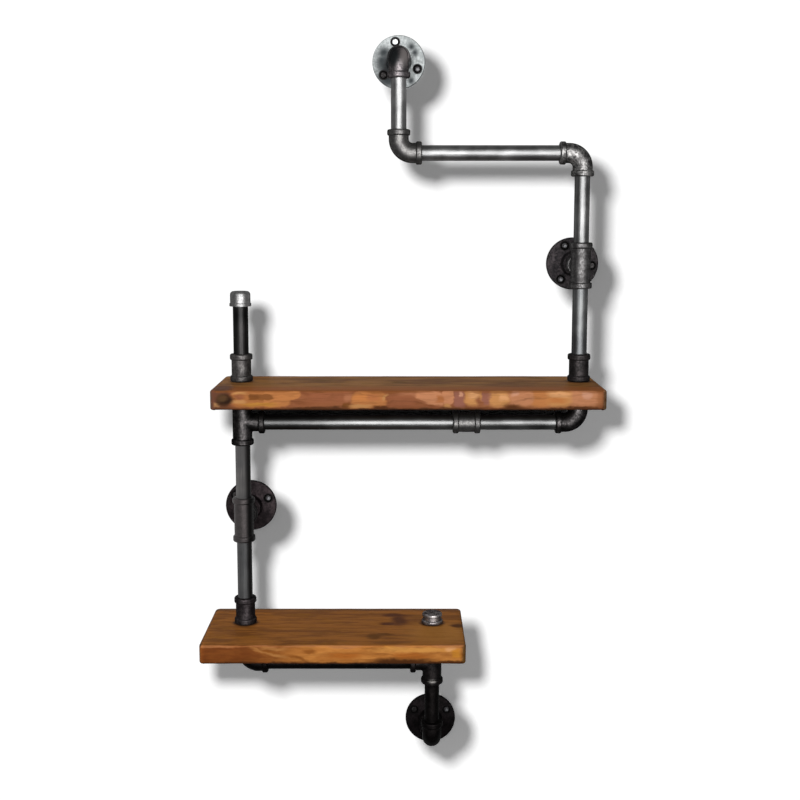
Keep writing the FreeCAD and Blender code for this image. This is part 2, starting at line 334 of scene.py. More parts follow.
def drawn_steel(name, along, dark, light, edge, metallic, roughness, wobble, grime_and_painted_light):
    """Drawn tube whose marks run along one axis, with rows of grime and of painted shade and light on it.
    """
    material, tree = blank(name)
    place = add(tree, "ShaderNodeTexCoord", {}, {}).outputs["Object"]
    mark_size = [MARK_LENGTH_MM if axis == along else MARK_MM for axis in "xyz"]
    drawn = mottle(tree, place, mark_size, MARK_DETAIL).outputs[0]
    slow = mottle(tree, place, [WOBBLE_MM] * 3, WOBBLE_DETAIL).outputs[0]
    stain = add(tree, "ShaderNodeMath", {"operation": "MULTIPLY"}, {0: drawn, 1: slow}).outputs[0]
    colour = lay_marks(tree, lay(tree, dark, light, stain, *STAIN_SPAN), place, grime_and_painted_light)
    dents = add(tree, "ShaderNodeBump", {"Strength": wobble, "Distance": WOBBLE_DEPTH}, {"Height": slow})
    lines = add(tree, "ShaderNodeBump", {"Strength": MARK_STRENGTH, "Distance": MARK_DEPTH},
                {"Height": drawn, "Normal": dents.outputs[0]})
    dull = add(tree, "ShaderNodeMapRange", {
        "From Min": NOISE_LOW, "From Max": NOISE_HIGH,
        "To Min": roughness - STEEL_DULL_SPREAD, "To Max": roughness + STEEL_DULL_SPREAD}, {"Value": slow})
    steel = add(tree, "ShaderNodeBsdfPrincipled", {
        "Metallic": metallic, "Specular Tint": linear(edge), "Specular IOR Level": OXIDE_SHINE},
        {"Base Color": colour, "Roughness": dull.outputs[0], "Normal": lines.outputs[0]})
    add(tree, "ShaderNodeOutputMaterial", {}, {"Surface": steel.outputs[0]})
    return material


print("steel marks", MARK_MM, "by", MARK_LENGTH_MM, "mm")

# %% [markdown]
# The elbows, tees, sockets and flanges are malleable iron, cast in sand. Sand leaves a pebbled skin, darker
# in its pits, and handling rubs its high places bright. Each batch was coated differently, so the same tree
# makes a grey, a graphite and a nearly black iron, and zinc as well.

# %% Cast iron
# The grain is drawn coarser than moulding sand leaves it, so that it shows
GRAIN_MM, GRAIN_DETAIL = 2.4, 3
GRAIN_DEPTH = 0.6 * MM
PATCH_MM, PATCH_DETAIL = 9, 2
RUBBED_SPAN = (0.14, 0.4)
IRON_DULL_SPREAD = 0.1


def cast_iron(name, pit, skin, edge, metallic, roughness, grain, grime_and_painted_light):
    """Sand-cast iron: pits, rubbed high places and slow patches, with rows of grime and painted shade and
    light.
    """
    material, tree = blank(name)
    place = add(tree, "ShaderNodeTexCoord", {}, {}).outputs["Object"]
    sand = mottle(tree, place, [GRAIN_MM] * 3, GRAIN_DETAIL).outputs[0]
    patch = mottle(tree, place, [PATCH_MM] * 3, PATCH_DETAIL).outputs[0]
    rubbed = add(tree, "ShaderNodeMath", {"operation": "MULTIPLY"}, {0: sand, 1: patch}).outputs[0]
    colour = lay_marks(tree, lay(tree, pit, skin, rubbed, *RUBBED_SPAN), place, grime_and_painted_light)
    bumps = add(tree, "ShaderNodeBump", {"Strength": grain, "Distance": GRAIN_DEPTH}, {"Height": sand})
    dull = add(tree, "ShaderNodeMapRange", {
        "From Min": NOISE_LOW, "From Max": NOISE_HIGH,
        "To Min": roughness + IRON_DULL_SPREAD, "To Max": roughness - IRON_DULL_SPREAD}, {"Value": sand})
    iron = add(tree, "ShaderNodeBsdfPrincipled", {
        "Metallic": metallic, "Specular Tint": linear(edge), "Specular IOR Level": OXIDE_SHINE},
        {"Base Color": colour, "Roughness": dull.outputs[0], "Normal": bumps.outputs[0]})
    add(tree, "ShaderNodeOutputMaterial", {}, {"Surface": iron.outputs[0]})
    return material


print("iron grain", GRAIN_MM, "mm")

# %% [markdown]
# Three screws hold each flange. The record gives each flange's centre and the circle that its screws lie
# on, so only the turn of the first screw is written here.

# %% Seats of the wall screws
FIRST_SCREW_TURN = {"top": 100, "right": 114, "left": 24, "bottom": 30}
FULL_TURN = 360
mounts = {m["name"].split("_")[0]: m for m in frame["record"]["mounts"] if m["kind"] == "bolt_pattern"}
seats = {}
for flange, first in FIRST_SCREW_TURN.items():
    centre = Vector(mounts[flange]["pos_m"])
    count = mounts[flange]["dims"]["count"]
    circle_r = mounts[flange]["dims"]["pcd_mm"] / 2 * MM
    turns = [math.radians(first + FULL_TURN * i / count) for i in range(count)]
    seats[flange] = [centre + Vector((math.cos(t), 0, math.sin(t))) * circle_r for t in turns]
print("screws per flange:", {flange: len(places) for flange, places in seats.items()})

# %% [markdown]
# Iron and steel that have been handled and oiled are not one tone, and some of their light and shade is
# painted into the colour. There are smudges on the top flange's face. Painted shade darkens the
# countersinks, a ring round the top flange's hub, a patch beside the elbow and the flange's lower left. The
# elbow has painted shade on its left and a painted highlight on its right. The left column has painted
# shade along its right side. The pipe under the upper plank has painted shade at its left end and a painted
# highlight along its middle, and the tee under the lower plank has a painted highlight on its low band.
# Each is a row of marks. The top flange's centre is the origin, so its marks are placed from there.

# %% Smudges, with painted shade and highlights
COUNTERSINK_MM = 7.2
HUB_GRIME_MM = 19
SHADE_RIGHT_OF_COLUMN_MM = 14
BAND_ABOVE_FOOT_MM = 7.2


def middle(node):
    """The middle of a CAD node's box."""
    low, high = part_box(node)
    return (low + high) / 2


# Painted shade: each countersink is darkened round its screw's head.
countersink_shades = {}
for flange, places in seats.items():
    holes = [on_front(seat.x / MM, seat.z / MM, COUNTERSINK_MM, COUNTERSINK_MM) for seat in places]
    countersink_shades[flange] = ("#0b0a0a", 0.1, holes)
# Painted shade in a ring round the top flange's hub, where the elbow meets it.
hub_ring_shade = ("#4b4d4e", 0.25, [on_front(0, 0, HUB_GRIME_MM, HUB_GRIME_MM)])
# Painted shade on the flange just left of the elbow.
shade_beside_elbow = ("#16181a", 0.6, [on_front(-15.5, -9, 6, 14)])
# Painted shade over the top flange's lower left.
flange_lower_left_shade = ("#2e3133", 0.8, [on_front(-18, -9, 14, 21), on_front(-19, -22, 14, 12)])
smudges = ("#2b2f31", 0.9, [
    on_front(-21, 13, 8, 7), on_front(-23, 1, 8, 7), on_front(-14, -26, 9, 8),
    on_front(18, 21, 4.5, 5), on_front(23, 13, 4, 5), on_front(18, -26, 5, 6)])
# Painted shade on the top elbow's left and a painted highlight on its right.
elbow_left_shade = ("#222425", 0.4, [on_front(-8, -2, 8, 15)])
elbow_right_highlight = ("#75706f", 0.7, [on_front(8, -2, 5, 12)])
column_x = middle("left_pipe_upper").x / MM
# Painted shade down the right side of the left column's pipes and tee.
column_right_shade = ("#1b1a1a", 0.5, [on_front(column_x + SHADE_RIGHT_OF_COLUMN_MM, 0, 7, FAR)])
# The pipe under the upper plank: painted shade at its left end, a painted highlight along its middle.
under_pipe_end_shade = ("#303030", 0.4, [on_front(-200, 0, 70, FAR)])
under_pipe_highlight = ("#4e4e4e", 0.5, [on_front(-12, 0, 75, FAR)])
# A painted highlight on the low band of the tee under the lower plank.
low_band_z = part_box("lower_under_tee")[0].z / MM + BAND_ABOVE_FOOT_MM
low_band_highlight = ("#504e4c", 0.8, [on_front(middle("bottom_nipple").x / MM, low_band_z, 5, 2.2)])
print("left column at x", round(column_x, 1), "mm")

# %% [markdown]
# The pipes and castings of such a shelf come from different boxes, so there are many finishes, each a row
# of values for the two trees above: two tones, the tint at grazing angles, how metallic it is, its
# roughness, how strongly it wobbles or is pebbled, and its rows of grime and painted shade and light. A
# coat of wax or paint over the metal is a low metallic. The shaded steel is a darker copy of the pipe
# steel, as painted shade, for the pipes under the upper plank.

# %% Steels and irons
PIPES = {
    "pipe_steel": ("#434343", "#616161", "#808080", 1.0, 0.43, 0.35, []),
    "pale_steel": ("#4e4e4e", "#6e6e6e", "#808080", 1.0, 0.45, 0.35, []),
    "dull_steel": ("#3b3c3d", "#515252", "#8a8a8a", 1.0, 0.5, 0.4, []),
    # Painted shade: a darker copy of the pipe steel for the pipes under the upper plank, with their painted
    # marks.
    "shaded_steel": ("#323232", "#505050", "#606060", 1.0, 0.39, 0.35, [under_pipe_highlight, under_pipe_end_shade]),
    # The left column's finishes carry painted shade down its right side.
    "pipe_graphite": ("#454444", "#585655", "#202020", 0.1, 0.6, 0.3, [column_right_shade]),
    "waxed_graphite": ("#373738", "#484848", "#202020", 0.22, 0.5, 0.3, [column_right_shade]),
    "pipe_black": ("#151515", "#242323", "#303030", 0.8, 0.42, 0.2, []),
}
# The top flange's rows: smudges, and painted shade in its countersinks, round its hub, beside the elbow and
# at its lower left.
top_flange_smudges_and_shade = [flange_lower_left_shade, smudges, hub_ring_shade, shade_beside_elbow, countersink_shades["top"]]
CASTINGS = {
    "iron_grey": ("#363535", "#4c4b4a", "#606060", 0.9, 0.47, 0.14, []),
    "iron_speckled": ("#2a2929", "#6c6b6a", "#606060", 0.9, 0.5, 0.4, []),
    "iron_mottled": ("#2b2a2a", "#4a4949", "#505050", 0.9, 0.5, 0.15, []),
    # The top elbow's finish: rubbed iron carrying its painted shade and painted highlight.
    "iron_rubbed": ("#353334", "#565253", "#606060", 0.9, 0.5, 0.05, [elbow_right_highlight, elbow_left_shade]),
    "iron_graphite": ("#2d2b2b", "#474544", "#404040", 0.7, 0.52, 0.15, []),
    "iron_plum": ("#1b1819", "#322e2f", "#404040", 0.8, 0.54, 0.1, []),
    "iron_waxed": ("#171616", "#333131", "#404040", 0.95, 0.42, 0.2, []),
    # The tee under the lower plank carries a painted highlight on its low band.
    "iron_banded": ("#100f0f", "#211e1e", "#303030", 0.8, 0.5, 0.2, [low_band_highlight]),
    "iron_dark": ("#171616", "#2c2929", "#202020", 0.8, 0.55, 0.2, []),
    "iron_black": ("#090808", "#141212", "#202020", 0.8, 0.5, 0.2, []),
    "cap_silver": ("#555555", "#6e6d6d", "#707070", 0.95, 0.46, 0.05, []),
    "cap_iron": ("#4b4748", "#8e8a89", "#505050", 1.0, 0.43, 0.1, []),
    # The left tee carries the column's painted shade too.
    "matt_graphite": ("#353232", "#3f3b3b", "#303030", 0.25, 0.44, 0.08, [column_right_shade]),
    "top_flange": ("#888c8c", "#acb0b0", "#ffffff", 0.2, 0.6, 0.2, top_flange_smudges_and_shade),
    # The other flanges carry painted shade in their countersinks.
    "right_flange": ("#121112", "#242122", "#404040", 0.6, 0.55, 0.2, [countersink_shades["right"]]),
    "left_flange": ("#131011", "#241f20", "#404040", 0.6, 0.55, 0.2, [countersink_shades["left"]]),
    "bottom_flange": ("#080707", "#141112", "#202020", 0.6, 0.5, 0.2, [countersink_shades["bottom"]]),
}
finishes = {finish: cast_iron(finish, *values) for finish, values in CASTINGS.items()}
for finish, values in PIPES.items():
    for axis in "xyz":
        finishes[finish, axis] = drawn_steel(f"{finish}_{axis}", axis, *values)
print("finishes:", len(finishes))

# %% [markdown]
# Each CAD node has a material slot in the record, and some nodes have a finish of their own. A pipe's axis
# is the longest side of its box, so the right steel can be picked for it. The meshes stay as they are, and
# only their material slots change. The planks' nodes are replaced later.

# %% Finishes on the CAD nodes
OWN_FINISH = {
    "pale_steel": ["top_drop_pipe"],
    "dull_steel": ["right_pipe_lower"],
    "shaded_steel": ["under_pipe_right", "under_pipe_left"],
    "waxed_graphite": ["left_pipe_lower"],
    "iron_speckled": ["upper_right_elbow"],
    "iron_mottled": ["right_tee"],
    "iron_rubbed": ["top_elbow"],
    "iron_plum": ["lower_board_socket"],
    "iron_waxed": ["right_under_elbow", "left_under_tee"],
    "iron_banded": ["lower_under_tee"],
    "iron_black": [
        "lower_under_elbow", "lower_under_pipe", "bottom_nipple", "bottom_elbow", "bottom_flange_nipple"],
    "matt_graphite": ["left_tee"],
    "top_flange": ["top_flange"],
    "right_flange": ["right_flange"],
    "left_flange": ["left_flange"],
    "bottom_flange": ["bottom_flange"],
}
finish_of = {part["node"]: part["material_slot"] for part in frame["record"]["subparts"]}
for finish, nodes in OWN_FINISH.items():
    finish_of.update({node: finish for node in nodes})
for name, piece in frame["nodes"].items():
    low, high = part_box(name)
    longest = max(range(3), key=lambda i: high[i] - low[i])
    chosen = finishes.get(finish_of[name]) or finishes.get((finish_of[name], "xyz"[longest]))
    if chosen:
        dress(piece, chosen)
print("nodes with a finish of their own:", sum(len(nodes) for nodes in OWN_FINISH.values()))

# %% [markdown]
# A wall screw has a low domed head with a cross slot. One is modelled: a disc whose rim is bevelled into
# the dome, a shank drawn out of its underside down to the wall, and a slot cut by two crossed bars. Two
# helpers serve it and the planks: one picks edges or faces by a test, and one cuts a tool's shape out of a
# piece.

# %% One wall screw
HEAD_R = 4.4 * MM
HEAD_HEIGHT = 2.2 * MM
HEAD_SEAT = 4.3 * MM
HEAD_SIDES = 28
SHANK_R = 2.4 * MM
DOME = 1.5 * MM
DOME_STEPS = 5
DOME_PROFILE = 0.6
NEAR_TOP_SHARE = 0.4
FACES_DOWN = -0.99


def shaped(build):
    """Runs one operator on a clean selection and gives the object it made."""
    bpy.ops.object.select_all(action="DESELECT")
    build()
    return bpy.context.object


def pick(piece, kind, wanted):
    """Selects the edges or faces that are wanted, and no others."""
    mesh = bmesh.from_edit_mesh(piece.data)
    for part in getattr(mesh, kind):
        part.select_set(wanted(part))
    bmesh.update_edit_mesh(piece.data)


screw = shaped(lambda: bpy.ops.mesh.primitive_cylinder_add(
    vertices=HEAD_SIDES, radius=HEAD_R, depth=HEAD_HEIGHT, location=(0, 0, HEAD_SEAT + HEAD_HEIGHT / 2)))
screw.name = "wall_screw"
bpy.ops.object.mode_set(mode="EDIT")
pick(screw, "edges", lambda e: all(v.co.z > HEAD_HEIGHT * NEAR_TOP_SHARE for v in e.verts))
bpy.ops.mesh.bevel(offset=DOME, segments=DOME_STEPS, profile=DOME_PROFILE)
pick(screw, "faces", lambda f: f.normal.z < FACES_DOWN)
bpy.ops.mesh.inset(thickness=HEAD_R - SHANK_R)
bpy.ops.mesh.extrude_region_move(TRANSFORM_OT_translate={"value": (0, 0, -HEAD_SEAT)})
bpy.ops.object.mode_set(mode="OBJECT")
print("screw head faces", len(screw.data.polygons))

# %% The screw's cross slot
SLOT_LENGTH = 5.2 * MM
SLOT_WIDTH = 1.1 * MM
SLOT_BAR = 2.4 * MM
SCREW_CREASE = math.radians(35)


def cut_away(piece, tool):
    """Cuts a tool's shape out of a piece and throws the tool away."""
    bpy.context.view_layer.objects.active = piece
    cut = piece.modifiers.new("cut", "BOOLEAN")
    cut.object = tool
    bpy.ops.object.modifier_apply(modifier=cut.name)
    bpy.data.objects.remove(tool)


for length, width in ((SLOT_LENGTH, SLOT_WIDTH), (SLOT_WIDTH, SLOT_LENGTH)):
    cut_away(screw, shaped(lambda: bpy.ops.mesh.primitive_cube_add(
        size=1, location=(0, 0, HEAD_SEAT + HEAD_HEIGHT), scale=(length, width, SLOT_BAR))))
bpy.ops.object.select_all(action="DESELECT")
screw.select_set(True)
bpy.ops.object.transform_apply(location=True, rotation=True, scale=True)
bpy.ops.object.shade_smooth_by_angle(angle=SCREW_CREASE)
print("screw faces", len(screw.data.polygons))

# %% [markdown]
# The screw is copied into the twelve countersinks, each copy with its own mesh, moved into place and turned
# as screws end up, no two of a flange alike. The zinc on them is bright, dull or grimed. On a dull one, a
# paler spot stands for the light that its dome catches.

# %% Twelve screws in their countersinks
FIRST_TURN, NEXT_TURN = 17, 41
GLINT_OFF_MM, GLINT_MM = 0.5, 1.9
glints = [on_front(seat.x / MM + GLINT_OFF_MM, seat.z / MM - GLINT_OFF_MM, GLINT_MM, GLINT_MM)
          for places in seats.values() for seat in places]
bright = cast_iron("bright_zinc_screw", "#8a8c8e", "#b9baba", "#ffffff", 0.3, 0.4, 0.05, [])
dull = cast_iron("dull_zinc_screw", "#1e1d1e", "#2e2d2e", "#606060", 0.5, 0.5, 0.05,
                 [("#5c5c5e", 0.5, glints)])
grimed = cast_iron("grimed_zinc_screw", "#171616", "#302e2e", "#404040", 0.5, 0.5, 0.05, [])
SCREW_FINISH = {
    "top": (bright, grimed, dull),
    "right": (dull, dull, grimed),
    "left": (dull, grimed, grimed),
    "bottom": (dull, grimed, grimed),
}
face_room = Matrix.Rotation(RIGHT_ANGLE, 4, "X")
for flange, places in seats.items():
    for i, seat in enumerate(places):
        copy = screw.copy()
        copy.data = screw.data.copy()
        copy.data.materials.append(SCREW_FINISH[flange][i])
        copy.name = f"wall_screw_{flange}_{i + 1}"
        scene.collection.objects.link(copy)
        turned = Matrix.Rotation(math.radians(FIRST_TURN + NEXT_TURN * i), 4, "Z")
        copy.data.transform(Matrix.Translation(seat) @ face_room @ turned)
        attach(copy, "root")
bpy.data.objects.remove(screw)
print("screws", sum(len(places) for places in seats.values()))

# %% [markdown]
# The planks are sawn pine, rounded at the corners, sanded by hand and then knocked about, so their arrises
# wander by a millimetre or so and their faces are never quite flat. The CAD planks are straight, so each is
# modelled again in the same box: a cube, with its upright corners and then its rims bevelled, and cut
# across many times so that its surface can wander.

# %% A rounded plank
CORNER, CORNER_STEPS = 8 * MM, 6
ARRIS, ARRIS_STEPS = 2.8 * MM, 4
CUT_STEP = 9 * MM


def rise(edge):
    """How far an edge goes up."""
    return abs(edge.verts[0].co.z - edge.verts[1].co.z)


def rounded_plank(name, low, high):
    """A plank that fills a box, with rounded corners and rims, cut into small faces."""
    size = high - low
    board = shaped(lambda: bpy.ops.mesh.primitive_cube_add(size=1, location=(low + high) / 2, scale=size))
    board.name = name
    bpy.ops.object.transform_apply(location=True, rotation=True, scale=True)
    bpy.ops.object.mode_set(mode="EDIT")
    bpy.ops.mesh.select_mode(type="EDGE")
    pick(board, "edges", lambda e: rise(e) > size.z / 2)
    bpy.ops.mesh.bevel(offset=CORNER, segments=CORNER_STEPS)
    pick(board, "edges", lambda e: rise(e) < size.z / 2)
    bpy.ops.mesh.bevel(offset=ARRIS, segments=ARRIS_STEPS)
    for axis in (0, 1):
        count = int(size[axis] / CUT_STEP)
        across = Vector([float(i == axis) for i in range(3)])
        for i in range(1, count):
            bpy.ops.mesh.select_all(action="SELECT")
            bpy.ops.mesh.bisect(plane_co=low + across * size[axis] * i / count, plane_no=across)
    bpy.ops.object.mode_set(mode="OBJECT")
    return board


print("a cut every", round(CUT_STEP / MM), "mm")

# %% [markdown]
# Sanding and wear are two clouds of noise that push the surface inwards: a slow shallow one all over, and a
# quicker one along the rims, strongest at the front. The push is only inwards, so the plank never leaves
# its box. Then the plank is drilled for the pipes that pass through it.

# %% Worn and drilled planks
SANDING_SIZE, SANDING_DEPTH = 70 * MM, 0.2 * MM
WEAR_SIZE, WEAR_DEPTH = 24 * MM, 1.1 * MM
CLOUD_DETAIL = 2
RIM_SHARE = 1.05
BACK_WEAR_SHARE = 0.25
PIPE_R, HOLE_CLEARANCE = 10.65 * MM, 0.3 * MM
PIPE_Y = -82 * MM
DRILL_LENGTH, DRILL_SIDES = 100 * MM, 32
PLANK_CREASE = math.radians(40)


def push_in(piece, name, size, depth, group):
    """Pushes a piece's surface inwards by a cloud pattern of the given size."""
    cloud = bpy.data.textures.new(name, "CLOUDS")
    cloud.noise_scale = size
    cloud.noise_depth = CLOUD_DETAIL
    push = piece.modifiers.new(name, "DISPLACE")
    push.texture = cloud
    push.texture_coords = "LOCAL"
    push.strength = depth
    push.mid_level = 1
    push.vertex_group = group
    bpy.context.view_layer.objects.active = piece
    bpy.ops.object.modifier_apply(modifier=push.name)


def wear(board, low, high):
    """Sands a plank's faces and wears its rims."""
    rim_width = ARRIS * RIM_SHARE
    rim = board.vertex_groups.new(name="rim")
    for v in board.data.vertices:
        near = sum(min(v.co[i] - low[i], high[i] - v.co[i]) < rim_width for i in range(3))
        worn = 1.0 if v.co.y < low.y + rim_width else BACK_WEAR_SHARE
        rim.add([v.index], worn if near > 1 else 0.0, "REPLACE")
    push_in(board, "hand_sanding", SANDING_SIZE, SANDING_DEPTH, "")
    push_in(board, "worn_arris", WEAR_SIZE, WEAR_DEPTH, "rim")


def plank(name, node, on_plank):
    """The plank that stands for a CAD node, drilled under the fittings that stand on it."""
    low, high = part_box(node)
    board = rounded_plank(name, low, high)
    wear(board, low, high)
    for fitting in on_plank:
        spot = (middle(fitting).x, PIPE_Y, middle(node).z)
        cut_away(board, shaped(lambda: bpy.ops.mesh.primitive_cylinder_add(
            vertices=DRILL_SIDES, radius=PIPE_R + HOLE_CLEARANCE, depth=DRILL_LENGTH, location=spot)))
    bpy.ops.object.select_all(action="DESELECT")
    board.select_set(True)
    bpy.ops.object.shade_smooth_by_angle(angle=PLANK_CREASE)
    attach(board, "root")
    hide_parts(node)
    return board


ON_UPPER = ["left_board_socket", "right_board_socket"]
ON_LOWER = ["lower_board_socket", "lower_board_cap"]
upper = plank("upper_plank", "upper_board", ON_UPPER)
lower = plank("lower_plank", "lower_board", ON_LOWER)
print("plank faces", len(upper.data.polygons), len(lower.data.polygons))

# %% [markdown]
# The wood is flat-sawn pine, stained brown and waxed. Growth rings run along the plank at a small angle to
# it, so they cut its faces in long stripes. The front edge was sanded through the stain in places, which
# leaves light patches with firm rims, and the upper plank has a knot. The rings are a wave round a line
# that is tilted to the plank. The patches, knot and stains are marks, set where the photograph shows them,
# in coordinates that noise has bent, so that they look grown and not drawn. Stripes, blotches, grain and
# fibre are noise that is stretched along the plank.

# %% Pine's patterns
BEND_MM, BEND_DRIFT_MM = (45, 14, 14), (30, 12, 12)
RAGGED_MM, RAGGED_DRIFT_MM = (16, 8, 8), (11, 7, 7)
PINE_GRAIN_MM, FIBRE_MM, BLOTCH_MM = (120, 4, 4), (35, 1.2, 1.2), (40, 14, 10)
PINE_DETAIL, FIBRE_DETAIL = 3, 2
NOISE_MIDDLE = (0.5, 0.5, 0.5)
RING_MM = 6
# A wave texture of scale 1 repeats after this length
WAVE_PERIOD = math.pi / 10
PITH_Y, PITH_ABOVE_FOOT = -0.02, 0.09
PITH_TURN = (0, math.radians(2), math.radians(1.5))


def wandering(tree, place, size_mm, drift_mm):
    """Coordinates that drift to and fro, so that what is laid in them has an uneven rim."""
    noise = mottle(tree, place, size_mm, PINE_DETAIL).outputs["Color"]
    drift = add(tree, "ShaderNodeVectorMath", {"operation": "SUBTRACT", 1: NOISE_MIDDLE}, {0: noise})
    return add(tree, "ShaderNodeVectorMath", {"operation": "MULTIPLY_ADD", 1: Vector(drift_mm) * MM},
               {0: drift.outputs[0], 2: place}).outputs[0]


def growth_rings(tree, place, foot):
    """A wave round the pith, a line that is tilted to the plank and lies above its foot."""
    pith = add(tree, "ShaderNodeMapping", {
        "Location": (0, PITH_Y, PITH_ABOVE_FOOT - foot), "Rotation": PITH_TURN}, {"Vector": place})
    return add(tree, "ShaderNodeTexWave", {
        "wave_type": "RINGS", "wave_profile": "SIN", "Scale": WAVE_PERIOD / (RING_MM * MM)},
        {"Vector": pith.outputs[0]}).outputs["Fac"]


print("growth rings", RING_MM, "mm")

# %% [markdown]
# The pine's tree lays one thing over another, as a finisher would: the stained top with its stripes and
# stains, the front with its patches, painted shade at the front's low rim, the worn arris between top and
# front, then knots, ends and feet, and over all of it the late wood of rings, grain and fibre. A span says
# from which value of a pattern to which other a tone is laid, and at most how much of it.

# %% Stained pine
STRIPE_SPAN, BLOTCH_SPAN, STAIN_ON_TOP_SPAN = (0.38, 0.62), (0.35, 0.65), (0.5, 0.7, 0.6)
LOW_RIM_WANDER, LOW_RIM_START, LOW_RIM_END = -9 * MM, 1 * MM, -3 * MM
TOP_STARTS, FRONT_ENDS = 4 * MM, 1.5 * MM
ARRIS_DEEP_MM, ARRIS_TALL_MM, ARRIS_SPAN = 4.5, 3.2, (1.25, 0.4, 0.7)
RING_SPAN, GRAIN_SPAN, FIBRE_SPAN = (0.6, 1.0, 0.16), (0.52, 0.75, 0.35), (0.52, 0.8, 0.35)
FIBRE_DEPTH, FIBRE_STRENGTH = 0.4 * MM, 0.3
WAX_SHINE, WAX_SMOOTH, WAX_DULL = 0.01, 0.5, 0.66


def stained_pine(name, box, tones, front_marks, top_marks, knots, fade=None):
    """Pine in a box. Marks are rows of marks. Fade lights the front from one x to another."""
    low, high = box
    material, tree = blank(name)
    place = add(tree, "ShaderNodeTexCoord", {}, {}).outputs["Object"]
    bent = wandering(tree, place, BEND_MM, BEND_DRIFT_MM)
    ragged = wandering(tree, place, RAGGED_MM, RAGGED_DRIFT_MM)
    ragged_x, _, ragged_z = add(tree, "ShaderNodeSeparateXYZ", {}, {0: ragged}).outputs
    grain = mottle(tree, bent, PINE_GRAIN_MM, PINE_DETAIL).outputs[0]
    fibre = mottle(tree, place, FIBRE_MM, FIBRE_DETAIL).outputs[0]
    blotch = mottle(tree, bent, BLOTCH_MM, PINE_DETAIL).outputs[0]
    stripe = mottle(tree, bent, tones["stripe_mm"], PINE_DETAIL).outputs[0]

    top = lay(tree, tones["top_dark"], tones["top"], stripe, *STRIPE_SPAN)
    top = lay(tree, top, tones["top_stain"], blotch, *STAIN_ON_TOP_SPAN)
    top = lay_marks(tree, top, bent, top_marks)

    front = lay(tree, tones["front_dark"], tones["front"], blotch, *BLOTCH_SPAN)
    if fade:
        light = lay(tree, tones["light_dark"], tones["light"], blotch, *BLOTCH_SPAN)
        front = lay(tree, front, light, ragged_x, fade[0] * MM, fade[1] * MM)
    front = lay_marks(tree, front, ragged, front_marks, boxy=True)
    # Painted shade along the front's low rim.
    low_rim_shade = add(tree, "ShaderNodeMath", {"operation": "MULTIPLY_ADD", 1: LOW_RIM_WANDER},
                  {0: blotch, 2: ragged_z}).outputs[0]
    front = lay(tree, front, tones["low_rim_shade"], low_rim_shade, low.z + LOW_RIM_START, low.z + LOW_RIM_END)

    straight_y = add(tree, "ShaderNodeSeparateXYZ", {}, {0: place}).outputs[1]
    wood = lay(tree, top, front, straight_y, low.y + TOP_STARTS, low.y + FRONT_ENDS)
    arris = [((0, low.y / MM, high.z / MM), (FAR, ARRIS_DEEP_MM, ARRIS_TALL_MM), (0, 0, 0))]
    wood = lay(tree, wood, tones["arris"], reach(tree, bent, arris), *ARRIS_SPAN)
    wood = lay_marks(tree, wood, ragged, knots)
    wood = lay(tree, wood, tones["late"], growth_rings(tree, bent, low.z), *RING_SPAN)
    wood = lay(tree, wood, tones["late"], grain, *GRAIN_SPAN)
    wood = lay(tree, wood, tones["late"], fibre, *FIBRE_SPAN)

    bump = add(tree, "ShaderNodeBump", {"Strength": FIBRE_STRENGTH, "Distance": FIBRE_DEPTH},
               {"Height": fibre})
    dull = add(tree, "ShaderNodeMapRange", {
        "From Min": NOISE_LOW, "From Max": NOISE_HIGH, "To Min": WAX_SMOOTH, "To Max": WAX_DULL},
        {"Value": fibre})
    pine = add(tree, "ShaderNodeBsdfPrincipled", {"Specular IOR Level": WAX_SHINE},
               {"Base Color": wood, "Roughness": dull.outputs[0], "Normal": bump.outputs[0]})
    add(tree, "ShaderNodeOutputMaterial", {}, {"Surface": pine.outputs[0]})
    return material


print("arris", ARRIS_DEEP_MM, "by", ARRIS_TALL_MM, "mm")

# %% [markdown]
# The upper plank's front has large light patches with darker cores, chips and painted shade along its low
# edge. Later rows lie over earlier ones: patches first, then their cores and pale chips, then the painted
# shade at the low edge. Its left end has a knot and is dark, its right end is pale, and dark rings of grime
# and painted shade lie round the feet of the fittings. Its top has painted shade along its back rim.

